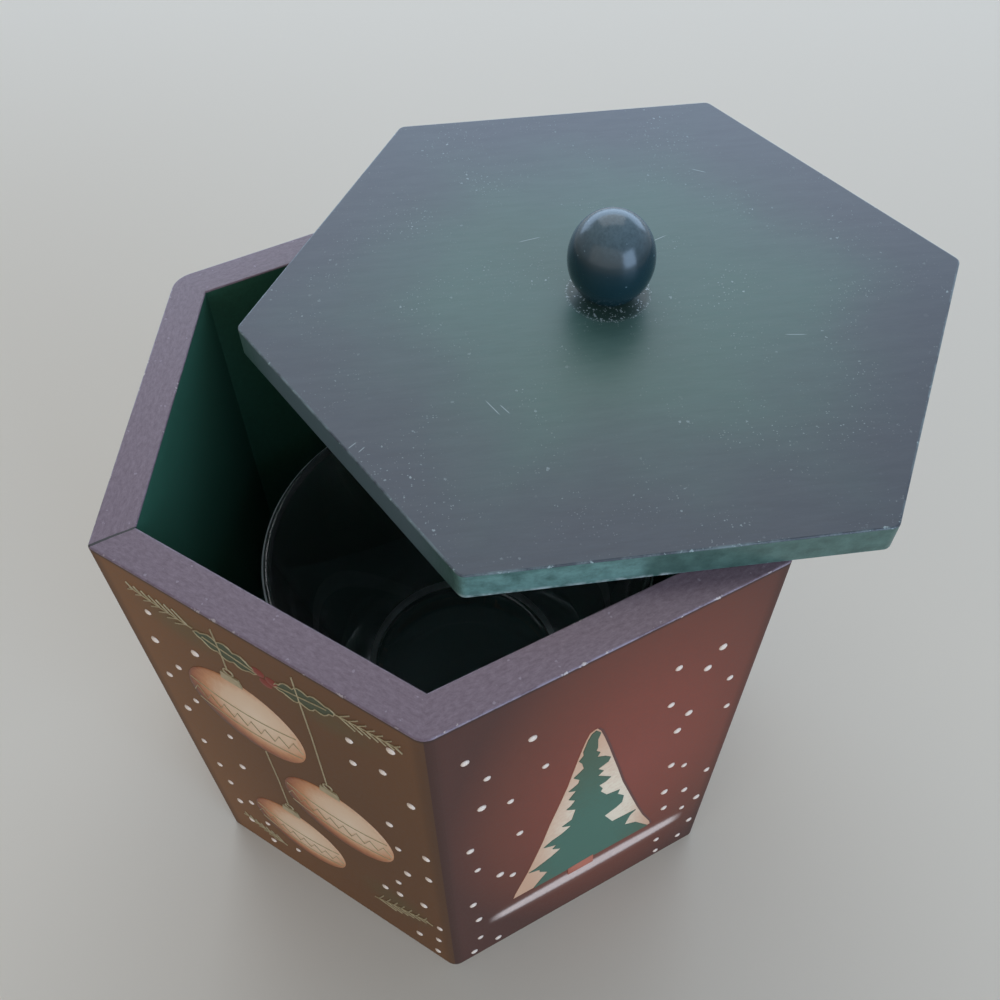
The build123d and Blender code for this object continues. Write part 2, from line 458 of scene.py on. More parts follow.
# plum fading to green on the upper face, mottled sides with a painted sky reflection, lighter and bluer, on
# one corner, and the underside
def lidGround(add, spot, level, inset, mottle, sideMask):
    look = lidLook
    cloud = add("TexNoise", {"Vector": spot, "Scale": 1 / look["cloudSize"], "Detail": 3.0})
    shift = look["cloudShift"]
    drift = add("Math", {"operation": "MULTIPLY_ADD", 0: cloud.outputs["Fac"], 1: 2 * shift, 2: -shift})
    inner = add("Math", {"operation": "ADD", 0: inset, 1: drift})
    fade = add("MapRange", {"interpolation_type": "SMOOTHSTEP", "Value": inner, "From": look["plumFade"]})
    colour = layer(add, look["plum"], look["green"], fade)
    sideTone = add("MapRange", {"Value": mottle.outputs["Fac"], "From": (0.35, 0.65)})
    sideColour = layer(add, look["sideShade"], look["side"], sideTone)
    # painted sky reflection on the sides near one corner
    sideReflection = softBlob(add, spot, look["sideReflectionCentre"], look["sideReflectionReach"], look["sideReflectionFade"])
    sideColour = layer(add, sideColour, look["sideReflection"], sideReflection, look["sideReflectionShare"])
    colour = layer(add, colour, sideColour, sideMask)
    underMask = add("Math", {"operation": "LESS_THAN", 0: level, 1: look["skin"] - lidThickness})
    return layer(add, colour, look["underside"], underMask)


# paint rubbed thin on the front side, a rubbed line and chips along both edges, bare wood low in front
def lidWear(add, spot, colour, level, inset, mottle, sideMask):
    look = lidLook
    wornSpot = softBar(add, spot, look["wornCentre"], look["wornReach"], look["wearEnds"])
    wornTone = add("MapRange", {"Value": mottle.outputs["Fac"], "From": (0.3, 0.65), "To": (0.25, 1.0)})
    colour = layer(add, colour, look["worn"], wornSpot, wornTone, sideMask)
    drop = product(add, level, -1.0)
    rise = add("Math", {"operation": "ADD", 0: level, 1: lidThickness})
    nearEdge = add("Math", {"operation": "MINIMUM", 0: drop, 1: rise})
    edge = add("Math", {"operation": "ADD", 0: inset, 1: nearEdge})
    paleEdge = brokenEdgeLine(add, spot, edge, *look["paleEdgeSize"])
    colour = layer(add, colour, look["paleEdge"], paleEdge, look["paleEdgeShare"])
    chips = chipMask(add, spot, edge, *look["chipSize"])
    colour = layer(add, colour, look["chip"], chips, look["chipShare"])
    bareLine = brokenEdgeLine(add, spot, rise, *look["bareLine"])
    bareSpot = softBar(add, spot, look["bareCentre"], look["bareReach"], look["wearEnds"])
    return layer(add, colour, look["bare"], bareLine, bareSpot, look["bareShare"])


# on the upper face: wiped dust, dust in loose drifts, scratches, painted shade under the knob, and the dusty
# ring round the knob
def lidDust(add, spot, colour, strokes, upper):
    look = lidLook
    wiped = add("TexNoise", {
        "Vector": strokes, "Scale": look["wipedScale"], "Detail": 8.0, "Roughness": 0.75})
    wiped = add("MapRange", {"Value": wiped.outputs["Fac"], "From": (0.4, 0.8), "To": (0.0, 0.05)})
    colour = layer(add, colour, look["dust"], wiped, upper)
    drifts = add("TexNoise", {"Vector": spot, "Scale": 1 / look["driftSize"], "Detail": 2.0})
    drifts = add("MapRange", {"Value": drifts.outputs["Fac"], "From": (0.46, 0.66), "To": (0.06, 1.0)})
    dusty = product(add, drifts, upper)
    for specks, amount in look["specks"]:
        colour = layer(add, colour, look["dust"], speckMask(add, spot, *specks), amount, dusty)
    for (x, y), turn, length in look["scratches"]:
        reach = (length / 2, look["scratchHalf"], throughBoard)
        line = softBar(add, spot, (x, y, 0), reach, look["scratchEnds"], turn)
        colour = layer(add, colour, look["dust"], line, look["scratchShare"], upper)
    flat = add("VectorMath", {"operation": "MULTIPLY", 0: spot, 1: (1, 1, 0)})
    radius = add("VectorMath", {"operation": "LENGTH", 0: flat}).outputs["Value"]
    # painted shade under the knob: the lid darker within the dusty ring
    shadeUnderKnob = add("MapRange", {
        "Value": radius, "From": (look["ringRadius"] - 0.8, look["ringRadius"] + 0.5), "To": (0.8, 0.0)})
    colour = layer(add, colour, look["ringShade"], shadeUnderKnob, upper)
    away = add("Math", {"operation": "SUBTRACT", 0: radius, 1: look["ringRadius"]})
    away = add("Math", {"operation": "ABSOLUTE", 0: away})
    ring = add("MapRange", {"Value": away, "From": (0.0, look["ringWidth"]), "To": (0.15, -0.12)})
    crumbs = add("TexNoise", {
        "Vector": spot, "Scale": 1 / look["crumbSize"], "Detail": 5.0, "Roughness": 0.8})
    crumbs = add("Math", {"operation": "ADD", 0: crumbs.outputs["Fac"], 1: ring})
    crumbs = add("MapRange", {"Value": crumbs, "From": (0.64, 0.76), "To Max": 0.8})
    colour = layer(add, colour, look["dust"], crumbs, upper)
    within = add("Math", {
        "operation": "LESS_THAN", 0: radius, 1: look["ringRadius"] + look["grainMargin"]})
    grains = speckMask(add, spot, *look["ringGrains"])
    return layer(add, colour, look["dust"], grains, within, look["grainShare"], upper)


# airbrushed satin paint on a flat board: green middle fading to plum, brushed, dusty, with rubbed edges,
# painted shade under the knob and a painted sky reflection on one corner of the sides
def lidPaint():
    look = lidLook
    finish, add, shader, spot = measuredFinish(
        "airbrushedLidPaint", (lidCentre.x, lidCentre.y, lidHigh.z), look["turn"])
    level = add("SeparateXYZ", {0: spot}).outputs["Z"]
    inset = add("Math", {"operation": "SUBTRACT", 0: lidApothem, 1: lidReach(add, spot)})
    sideMask = add("Math", {"operation": "LESS_THAN", 0: level, 1: look["sideFrom"]})
    upper = add("Math", {"operation": "GREATER_THAN", 0: level, 1: look["upperFrom"]})
    strokes = add("Mapping", {"vector_type": "TEXTURE", "Vector": spot, "Scale": look["strokes"]})
    streaks, mottle = [
        add("TexNoise", {"Vector": strokes, "Scale": size, "Detail": detail, "Roughness": 0.7})
        for size, detail in ((1.0, 5.0), (1.6, 6.0))]
    shade, gloss = [
        add("MapRange", {"Value": streaks.outputs["Fac"], "From": (0.3, 0.7), "To": tones})
        for tones in (look["strokeTone"], look["roughness"])]
    colour = lidGround(add, spot, level, inset, mottle, sideMask)
    colour = add("VectorMath", {"operation": "SCALE", 0: shownOutput(colour), "Scale": shade})
    colour = lidWear(add, spot, colour, level, inset, mottle, sideMask)
    colour = lidDust(add, spot, colour, strokes, upper)
    setSockets(shader, {
        "Base Color": colour, "Roughness": gloss, "IOR": 1.5, "Specular IOR Level": 0.46,
        "Normal": paintBump(add, spot, *look["bump"])})
    return finish


dressNode("lid_board", lidPaint())
print("lid painted,", round(2 * lidApothem, 1), "mm across flats")


# turned pieces

# a profile of (radius, height) in mm, from the axis back to the axis, turned about the centre
def latheRings(profile, segments, centre):
    vertices, faces, rings = [], [], []
    for radius, height in profile:
        if radius < 1e-6:
            rings.append([len(vertices)] * segments)
            vertices.append((centre.x, centre.y, height * mm))
            continue
        rings.append(list(range(len(vertices), len(vertices) + segments)))
        for step in range(segments):
            angle = 2 * math.pi * step / segments
            vertices.append((centre.x + radius * mm * math.cos(angle),
                             centre.y + radius * mm * math.sin(angle), height * mm))
    for lower, upper in zip(rings, rings[1:]):
        for step in range(segments):
            after = (step + 1) % segments
            corners = [lower[step], lower[after], upper[after], upper[step]]
            faces.append(list(dict.fromkeys(corners)))
    return vertices, faces


knobLook = {
    "footWidth": 8.4, "steps": 40, "segments": 96,
    "paint": "#15323b", "dust": "#7d98a4", "dustFrom": 0.3, "dustMost": 0.6, "gritSize": 1.1,
    "specks": (1.1, 0.25, 0.15), "speckShare": 0.5, "bump": (0.7, 2.0, 0.12),
}


# turned wooden knob, brushed slate-blue lacquer with a satin gloss, dusty on its crown
def knobLacquer():
    look = knobLook
    finish, add, shader, spot = measuredFinish("satinKnobLacquer", tuple(lidCentre))
    height = add("SeparateXYZ", {0: spot}).outputs["Z"]
    half = (knobHigh.z - knobLow.z) / 2 / mm
    crown = add("MapRange", {
        "interpolation_type": "SMOOTHSTEP", "Value": height,
        "From": (look["dustFrom"] * half, half), "To": (0.0, look["dustMost"])})
    grit = add("TexNoise", {
        "Vector": spot, "Scale": 1 / look["gritSize"], "Detail": 6.0, "Roughness": 0.7})
    colour = layer(add, look["paint"], look["dust"], crown, grit.outputs["Fac"])
    colour = layer(add, colour, look["dust"], speckMask(add, spot, *look["specks"]), look["speckShare"])
    gloss = add("MapRange", {"Value": grit.outputs["Fac"], "To": (0.12, 0.3)})
    setSockets(shader, {
        "Base Color": colour, "Roughness": gloss, "IOR": 1.52,
        "Normal": paintBump(add, spot, *look["bump"])})
    return finish


def turnedKnob():
    halfWidth = (knobHigh.x - knobLow.x) / 2 / mm
    footRadius = knobLook["footWidth"] / 2
    drop = math.sqrt(1 - (footRadius / halfWidth) ** 2)
    halfHeight = (knobHigh.z - knobLow.z) / mm / (1 + drop)
    middle = knobLow.z / mm + halfHeight * drop
    lowest = -math.asin(drop)
    profile = [(0, knobLow.z / mm)]
    for step in range(knobLook["steps"] + 1):
        angle = lowest + (math.pi / 2 - lowest) * step / knobLook["steps"]
        profile.append((halfWidth * math.cos(angle), middle + halfHeight * math.sin(angle)))
    profile[-1] = (0, knobHigh.z / mm)
    vertices, faces = latheRings(profile, knobLook["segments"], lidCentre)
    return newPiece("turned_knob", vertices, faces, knobLacquer())


knobPiece = turnedKnob()
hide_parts("knob")
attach(knobPiece, "lid")
print("knob turned")


screwLook = {"zinc": "#b9bcbd", "cloudSize": 0.8}


# zinc-plated steel screw: bright, a little clouded
def screwZinc():
    finish, add, shader, spot = measuredFinish("zincPlatedSteel")
    cloud = add("TexNoise", {"Vector": spot, "Scale": 1 / screwLook["cloudSize"], "Detail": 3.0})
    gloss = add("MapRange", {"Value": cloud.outputs["Fac"], "To": (0.2, 0.45)})
    setSockets(shader, {"Base Color": screwLook["zinc"], "Metallic": 1.0, "Roughness": gloss})
    return finish


dressNode("knob_screw", screwZinc())
print("screw plated")


glassShape = {
    "wall": 2.6, "footDiameter": 62.0, "heel": 5.6, "floor": 16.0, "belly": 3.0, "footRing": 6.0,
    "punt": 1.0, "heelRound": 2.4, "footRound": 1.5,
    "steps": 40, "lipSteps": 16, "footSteps": 6, "heelSteps": 8,
    "segments": 192, "bendGap": 0.3,  # least rise from the end of a bend to the next ring of the wall
    "lipHighlightFrom": 0.7, "lipHighlightTo": 0.93,  # how far up the outer shoulder of the lip the painted highlight lies
    "heelReflectionFrom": 0.45, "heelReflectionTo": 0.8,  # how far round the bend of the heel the painted reflection lies
    "finishes": {  # roughness and clearness
        # the lip and heel finishes are pale and dull to paint a highlight and a reflection; the clear glass
        # is a little milky to paint haze
        "clearSodaGlass": (0.02, 0.94), "lipHighlightGlass": (0.4, 0.12), "heelReflectionGlass": (0.3, 0.7)},
    "tint": "#eff5f7", "waveSize": 22, "waveDepth": 0.2, "waveStrength": 0.05,
}


# pressed soda-lime glass, faintly wavy, a little milky to paint haze over the dark inside; a pale band on
# the lip is a painted highlight, and a dull band round the heel is a painted reflection
def sodaGlass(name, rough, clearness):
    shape = glassShape
    finish, add, shader, spot = measuredFinish(name)
    waves = add("TexNoise", {"Vector": spot, "Scale": 1 / shape["waveSize"], "Detail": 0.0})
    ripple = add("Bump", {
        "Strength": shape["waveStrength"], "Distance": shape["waveDepth"] * mm,
        "Height": waves.outputs["Fac"]})
    setSockets(shader, {
        "Base Color": shape["tint"], "Roughness": rough, "IOR": 1.52, "Transmission Weight": clearness,
        "Normal": ripple})
    return finish


def bulgedWall(start, end, belly, steps):  # points on the arc that bulges outwards between two points
    chord = Vector((end[0] - start[0], end[1] - start[1]))
    half = chord.length / 2
    radius = (half * half + belly * belly) / (2 * belly)
    outward = Vector((chord.y, -chord.x)).normalized()
    centre = Vector(start) + chord / 2 - outward * (radius - belly)
    sweep = math.asin(half / radius)
    points = []
    for step in range(steps + 1):
        angle = -sweep + 2 * sweep * step / steps
        place = centre + outward * radius * math.cos(angle)
        place += chord.normalized() * radius * math.sin(angle)
        points.append((place.x, place.y))
    return points


def easedCorner(before, corner, after, reach, steps):  # a soft bend from the flat into the wall
    first = Vector(corner) + (Vector(before) - Vector(corner)).normalized() * reach
    last = Vector(corner) + (Vector(after) - Vector(corner)).normalized() * reach
    points = []
    for step in range(steps + 1):
        t = step / steps
        place = first * (1 - t) ** 2 + Vector(corner) * 2 * t * (1 - t) + last * t * t
        points.append((place.x, place.y))
    return points


def glassLiner():
    shape = glassShape
    low, high = glassLow.z / mm, glassHigh.z / mm
    rim = (glassHigh.x - glassLow.x) / 2 / mm
    foot = shape["footDiameter"] / 2
    lip = shape["wall"] / 2
    outer = bulgedWall((foot, low), (rim, high - lip), shape["belly"], shape["steps"])
    inner = bulgedWall((foot - shape["heel"], low + shape["floor"]), (rim - shape["wall"], high - lip),
                       shape["belly"], shape["steps"])
    footStart = (foot - shape["footRing"], low)
    footBend = easedCorner(footStart, outer[0], outer[2], shape["footRound"], shape["footSteps"])
    heelBend = easedCorner((0, low + shape["floor"]), inner[0], inner[3],
                           shape["heelRound"], shape["heelSteps"])
    outer = [point for point in outer if point[1] > footBend[-1][1] + shape["bendGap"]]
    inner = [point for point in inner if point[1] > heelBend[-1][1] + shape["bendGap"]]
    lipArc = []
    for step in range(1, shape["lipSteps"]):
        angle = math.pi * step / shape["lipSteps"]
        lipArc.append((rim - lip + lip * math.cos(angle), high - lip + lip * math.sin(angle)))
    profile = [(0, low + shape["punt"]), footStart] + footBend + outer + lipArc
    profile += inner[::-1] + heelBend[::-1] + [(0, low + shape["floor"])]
    vertices, faces = latheRings(profile, shape["segments"], Vector((0, 0, 0)))
    clear, *paintedLightFinishes = [sodaGlass(name, *finish) for name, finish in shape["finishes"].items()]
    piece = newPiece("pressed_glass_liner", vertices, faces, clear)
    for finish in paintedLightFinishes:
        piece.data.materials.append(finish)
    # pale dull faces on the lip's shoulder paint its highlight, and those on the bend of the heel paint its
    # ring of reflected light
    for face in piece.data.polygons:
        place, tilt = face.center / mm, face.normal.z
        onLip = place.z > high - lip and place.xy.length > rim - lip
        onHeel = place.z < low + shape["floor"] + shape["heelRound"]
        if onLip and shape["lipHighlightFrom"] < tilt < shape["lipHighlightTo"]:
            face.material_index = 1
        elif onHeel and shape["heelReflectionFrom"] < tilt < shape["heelReflectionTo"]:
            face.material_index = 2
    return piece


glassPiece = glassLiner()
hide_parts("glass_liner")
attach(glassPiece, "liner")
print("glass liner made")


# painted decoration, thin films of paint on the boards

def paintFilm(name, outlines, facings, thickness, finish):  # closed plates, outlines counter-clockwise
    vertices, faces = [], []
    for facing in facings:
        for outline in outlines:
            first, count = len(vertices), len(outline)
            for lift in (paintRoot, thickness):
                vertices += [onBoard(facing, across, height, lift) for across, height in outline]
            low = list(range(first, first + count))
            high = list(range(first + count, first + 2 * count))
            faces.append(high)
            faces.append(low[::-1])
            for step in range(count):
                after = (step + 1) % count
                faces.append([low[step], low[after], high[after], high[step]])
    piece = newPiece(name, vertices, faces, finish, smooth=False)
    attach(piece, "box")
    return piece


filmLook = {"mistSize": 1.2, "fade": 0.1, "gain": 2.4, "bump": (0.5, 3.0, 0.15)}


# artist's acrylic in one colour with a soft shade across it; its centre and reach are across and height
def filmPaint(name, colour, shadeColour, centre, reach, facing):
    look = filmLook
    finish, add, shader, spot = measuredFinish(name, turn=facing + 90)
    mist = add("TexNoise", {
        "Vector": spot, "Scale": 1 / look["mistSize"], "Detail": 5.0, "Roughness": 0.7})
    middle, ends = (centre[0], 0, centre[1]), (reach[0], throughBoard, reach[1])
    patch = softBlob(add, spot, middle, ends, look["fade"])
    amount = product(add, patch, mist.outputs["Fac"], look["gain"])
    amount.use_clamp = True
    setSockets(shader, {
        "Base Color": layer(add, shadeColour, colour, amount), "Roughness": 0.55, "IOR": paintIor,
        "Specular IOR Level": 0.3, "Normal": paintBump(add, spot, *look["bump"])})
    return finish


treeArt = {  # across and height on the board
    "fieldRight": ((19.6, 30.0), (19.2, 32.1), (16.1, 40.4), (13.3, 49.6), (10.2, 60.5), (7.3, 70.7),
                   (4.9, 81.0), (3.2, 87.9), (1.7, 94.2), (0.0, 100.8), (-1.1, 104.6)),
    "fieldLeft": ((-2.0, 106.4), (-2.6, 106.5), (-3.7, 105.8), (-4.5, 103.0), (-5.1, 99.9), (-5.8, 95.9),
                  (-6.6, 91.0), (-7.6, 84.4), (-9.1, 77.3), (-11.3, 67.4), (-12.9, 58.6), (-14.4, 52.1),
                  (-16.4, 43.8), (-19.7, 32.5), (-20.2, 30.0)),
    "rightTips": ((18.9, 29.9), (14.5, 37.5), (10.9, 40.2), (11.9, 45.1), (13.4, 47.1), (6.7, 47.7),
                  (3.9, 54.7), (6.9, 56.3), (8.4, 57.7), (8.5, 61.5), (6.5, 64.6), (6.9, 66.7), (3.4, 67.8),
                  (1.4, 71.9), (1.8, 73.2), (0.7, 76.1), (2.3, 76.4), (3.6, 77.6), (-0.1, 82.0), (1.2, 83.4),
                  (-0.4, 85.8), (2.1, 87.1), (2.5, 88.9), (1.1, 90.8), (-1.1, 92.6), (-0.5, 94.3),
                  (-1.6, 96.0), (-1.3, 97.3), (-1.6, 101.4), (-1.1, 104.0)),
    "leftTips": ((-2.3, 106.0), (-3.3, 105.3), (-4.0, 103.2), (-4.5, 100.4), (-4.8, 98.8), (-4.6, 96.8),
                 (-5.6, 95.1), (-4.7, 93.2), (-4.1, 90.1), (-5.1, 89.0), (-6.4, 87.7), (-4.8, 85.2),
                 (-5.0, 83.4), (-6.0, 82.6), (-7.3, 81.7), (-5.3, 80.0), (-7.0, 76.9), (-5.2, 74.7),
                 (-6.2, 72.6), (-7.3, 71.7), (-4.8, 69.1), (-5.5, 63.8), (-6.3, 63.4), (-8.0, 62.6),
                 (-5.4, 60.2), (-7.8, 58.0), (-10.5, 56.9), (-12.5, 55.2), (-9.0, 52.7), (-10.0, 51.2),
                 (-7.6, 48.5), (-10.1, 46.2), (-14.2, 43.8), (-16.2, 43.3), (-13.2, 41.5), (-13.1, 39.9),
                 (-10.8, 36.8), (-12.5, 34.0), (-14.6, 29.9)),
    "trunk": ((-4.5, 25.6), (2.8, 25.6), (2.5, 30.9), (-4.8, 30.3)), "shadeShift": (0.7, -0.3),
    "films": {  # finish, colour, shaded colour, centre and reach of the colour, thickness
        "tree_shade": ("treeShadePaint", "#66403a", "#66403a", (0, 60), (30, 60), 0.04),
        "tree_field": ("creamAirbrush", "#efdcc2", "#d6a98a", (2, 52), (20, 58), 0.1),
        "fir_tree": ("firGreenPaint", "#486d5d", "#4d5f4b", (0, 44), (26, 62), 0.22),
        "tree_trunk": ("trunkRedPaint", "#bd705b", "#9c5443", (0, 29), (8, 6), 0.26),
    },
}


def paintTrees():
    art = treeArt
    field = art["fieldRight"] + art["fieldLeft"]
    aside, down = art["shadeShift"]
    outlines = {
        "tree_shade": [(across + aside, height + down) for across, height in field],
        "tree_field": field,
        "fir_tree": art["rightTips"] + art["leftTips"],
        "tree_trunk": art["trunk"],
    }
    for number, facing in enumerate(facingsOf("tree")):
        tag = "_%d" % (number + 1)
        for name, (finishName, colour, shadeColour, centre, reach, thickness) in art["films"].items():
            finish = filmPaint(finishName + tag, colour, shadeColour, centre, reach, facing)
            paintFilm(name + tag, [outlines[name]], [facing], thickness, finish)


paintTrees()
print("trees painted")


baubleArt = {
    "balls": ((-9.0, 97.0, 15.0), (9.5, 65.0, 15.0), (-7.5, 33.0, 14.0)),  # across, height, radius
    "rings": (0.0, 0.2, 0.4, 0.58, 0.74, 0.87, 0.95, 1.0), "segments": 56,
    "dome": 0.6, "edgeLift": 0.1, "smallLift": 0.3, "fullRadius": 15,  # smaller discs are lower
    "glare": 0.24, "glareSpread": 1.2, "mistSize": 1.5, "mistShift": 0.1, "bump": (0.5, 3.0, 0.12),
    "shades": ((0.0, "#ecd3b8"), (0.45, "#e2c0a0"), (0.66, "#c98d62"), (0.84, "#9c5a37"), (1.0, "#5c3824")),
    "capHalf": 2.7, "capHeight": 3.0, "capTaper": 0.8, "capSink": 0.6, "capThickness": 0.3,
    "hangFrom": 131.5, "stringSway": 0.25, "loopRise": 1.4, "loopDrop": 0.9, "loopRadius": 1.2,
    "loopSteps": 14,
    "bands": ((-0.3, 0.0), (0.0, 0.13), (0.3, 0.0)),  # height and zigzag of each, as shares of the radius
    "bandSteps": 16, "bandReach": 0.96, "bandSag": 0.1,
    "gold": "#c2b08a", "goldShade": "#8f7e5c", "goldCloud": 1.4, "lineRadius": 0.16, "lineLift": 0.08,
    "berries": ((0.4, 124.4), (3.4, 123.4), (1.6, 121.4)), "berryRadius": 1.5, "berry": "#83392d",
    "leaves": ((0.2, 123.5, 170, 15.0), (3.8, 123.0, 14, 15.0)),  # root, angle, length
    "leafWidth": 3.4, "leafFullness": 0.6, "spines": 4, "spineDepth": 0.38, "spineSteps": 4,
    "veinShare": 0.86, "leafThickness": 0.06, "leaf": "#535a3b", "leafShade": "#424831",
    "twigs": ((-14.5, 127.0, 172, 15.0), (18.0, 126.5, 6, 14.0), (14.0, 19.0, 28, 19.0),
              (-16.0, 12.0, 160, 14.0)),
    "twigBow": 2, "needles": 7, "needleStart": 0.6, "needleAngle": 42, "needleLength": 0.3,
    "needleLoss": 0.17,
}


# airbrushed acrylic: cream in the middle, burnt orange towards one side of each ball
def baublePaint():
    art = baubleArt
    finish, add, shader, spot = measuredFinish("baubleAirbrush")
    rim = add("Attribute", {"attribute_name": "rimShare"})
    mist = add("TexNoise", {
        "Vector": spot, "Scale": 1 / art["mistSize"], "Detail": 5.0, "Roughness": 0.7})
    shift = art["mistShift"]
    drift = add("Math", {"operation": "MULTIPLY_ADD", 0: mist.outputs["Fac"], 1: 2 * shift, 2: -shift})
    toRim = add("Math", {"operation": "ADD", 0: rim.outputs["Fac"], 1: drift})
    colour = add("ValToRGB", {"Fac": toRim, "stops": art["shades"]})
    setSockets(shader, {
        "Base Color": colour, "Roughness": 0.5, "IOR": paintIor, "Specular IOR Level": 0.3,
        "Normal": paintBump(add, spot, *art["bump"])})
    return finish


def baubleLift(toRim):  # how far a bauble's low dome stands off the board
    return baubleArt["edgeLift"] + baubleArt["dome"] * (1 - toRim * toRim)


# low domes, each point of which keeps how near it is to the shaded side
def domedDiscs(name, discs, facings, finish):
    art = baubleArt
    vertices, faces, shares = [], [], []
    for facing in facings:
        for across, height, radius in discs:
            rings = []
            for toRim in art["rings"] + (1.0,):
                count = 1 if toRim == 0 else art["segments"]
                lift = baubleLift(toRim) * min(1.0, art["smallLift"] + radius / art["fullRadius"])
                if len(rings) == len(art["rings"]):  # the last ring is the root in the wood
                    lift = paintRoot
                rings.append(list(range(len(vertices), len(vertices) + count)))
                for step in range(count):
                    angle = 2 * math.pi * step / count
                    x, y = toRim * math.cos(angle), toRim * math.sin(angle)
                    vertices.append(onBoard(facing, across + radius * x, height + radius * y, lift))
                    away = math.hypot(x - art["glare"], y - art["glare"])
                    shares.append(away / (1 + art["glareSpread"] * art["glare"]))
            for inner, outer in zip(rings, rings[1:]):
                for step in range(art["segments"]):
                    after = (step + 1) % art["segments"]
                    if len(inner) == 1:
                        faces.append([inner[0], outer[step], outer[after]])
                    else:
                        faces.append([inner[step], outer[step], outer[after], inner[after]])
            faces.append(rings[-1][::-1])
    piece = newPiece(name, vertices, faces, finish)
    attribute = piece.data.attributes.new("rimShare", "FLOAT", "POINT")
    attribute.data.foreach_set("value", shares)
    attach(piece, "box")
    return piece


def pointAlong(across, height, angle, distance):
    turn = math.radians(angle)
    return across + distance * math.cos(turn), height + distance * math.sin(turn)


def leafOutline(across, height, angle, length):  # holly leaf with a few spines a side, counter-clockwise
    art = baubleArt
    steps = art["spines"] * art["spineSteps"]
    edge = []
    for step in range(1, steps):
        along = step / steps
        spine = 1 - art["spineDepth"] * (1 - abs(math.cos(math.pi * art["spines"] * along)))
        width = art["leafWidth"] * spine * math.sin(math.pi * along) ** art["leafFullness"]
        edge.append((along * length, width))
    local = [(0, 0)] + [(x, -y) for x, y in edge] + [(length, 0)] + edge[::-1]
    turned = []
    for x, y in local:
        foot = pointAlong(across, height, angle, x)
        turned.append(pointAlong(*foot, angle + 90, y))
    return turned


def geometryTree(name, inputs):
    tree = bpy.data.node_groups.new(name, "GeometryNodeTree")
    tree.interface.new_socket("Geometry", in_out="INPUT", socket_type="NodeSocketGeometry")
    for label, kind in inputs.items():
        tree.interface.new_socket(label, in_out="INPUT", socket_type=kind)
    tree.interface.new_socket("Geometry", in_out="OUTPUT", socket_type="NodeSocketGeometry")
    add = partial(addNode, tree)
    return tree, add, add("NodeGroupInput", {}).outputs


def finishTree(add, geometry, finish):  # every tree ends realised, smooth and with its material
    real = add("GeometryNodeRealizeInstances", {"Geometry": geometry})
    smooth = add("GeometryNodeSetShadeSmooth", {"Geometry": real})
    painted = add("GeometryNodeSetMaterial", {"Geometry": smooth, "Material": finish})
    add("NodeGroupOutput", {"Geometry": painted})


def growPiece(name, source, tree, values):  # runs the tree on a source and keeps a plain mesh
    scene.collection.objects.link(source)
    modifier = source.modifiers.new(name, "NODES")
    modifier.node_group = tree
    for item in tree.interface.items_tree:
        if item.in_out == "INPUT" and item.name in values:
            modifier[item.identifier] = values[item.name]
    depsgraph = bpy.context.evaluated_depsgraph_get()
    mesh = bpy.data.meshes.new_from_object(source.evaluated_get(depsgraph), depsgraph=depsgraph)
    mesh.name = name
    source.modifiers.remove(modifier)
    bpy.data.objects.remove(source)
    piece = bpy.data.objects.new(name, mesh)
    scene.collection.objects.link(piece)
    return piece


# gold paint drawn with a fine brush: dull, a little metallic and uneven
def goldPaint(name):
    art = baubleArt
    finish, add, shader, spot = measuredFinish(name)
    cloud = add("TexNoise", {"Vector": spot, "Scale": 1 / art["goldCloud"], "Detail": 4.0})
    colour = layer(add, art["goldShade"], art["gold"], cloud.outputs["Fac"])
    setSockets(shader, {"Base Color": colour, "Metallic": 0.15, "Roughness": 0.45})
    return finish


def twigLines(across, height, angle, length):  # a fir twig: a stem with slanting needles on both sides
    art = baubleArt
    middle = pointAlong(across, height, angle + art["twigBow"], length / 2)
    lines = [[(across, height), middle, pointAlong(across, height, angle, length)]]
    for needle in range(art["needles"]):
        along = (needle + art["needleStart"]) / art["needles"]
        bow = 2 * art["twigBow"] * along * (1 - along)
        foot = pointAlong(across, height, angle + bow, length * along)
        reach = length * (art["needleLength"] - art["needleLoss"] * along)
        for side in (-1, 1):
            lines.append([foot, pointAlong(*foot, angle + side * art["needleAngle"], reach)])
    return lines


def goldPaths():  # (points, closed) of each painted line, in mm on the board: across, height, lift
    art = baubleArt
    flat = []
    for root in art["leaves"]:
        across, height, angle, length = root
        flat.append((leafOutline(*root), True))
        vein = pointAlong(across, height, angle, art["veinShare"] * length)
        flat.append(([(across, height), vein], False))
    for twig in art["twigs"]:
        flat += [(line, False) for line in twigLines(*twig)]
    for number, (across, height, radius) in enumerate(art["balls"]):  # a string and a loop for each ball
        top = height + radius + art["capHeight"] + art["loopRise"]
        start = art["hangFrom"] if number < 2 else art["balls"][0][1] - art["balls"][0][2]
        middle = (across + art["stringSway"], (top + start) / 2)
        flat.append(([(across, top), middle, (across, start)], False))
        turns = [step * 360 / art["loopSteps"] for step in range(art["loopSteps"])]
        loop = [pointAlong(across, top - art["loopDrop"], turn, art["loopRadius"]) for turn in turns]
        flat.append((loop, True))
    paths = [([(a, h, art["lineLift"]) for a, h in points], closed) for points, closed in flat]
    for across, height, radius in art["balls"]:  # two arcs and a zigzag round each ball's middle
        for offset, wave in art["bands"]:
            half = math.sqrt(1 - offset * offset) * art["bandReach"]
            band = []
            for step in range(art["bandSteps"] + 1):
                x = half * (2 * step / art["bandSteps"] - 1)
                y = offset - art["bandSag"] * (1 - x * x) + wave * (1 if step % 2 else -1)
                lift = baubleLift(min(1.0, math.hypot(x, y)))
                band.append((across + radius * x, height + radius * y, lift))
            paths.append((band, False))
    return paths


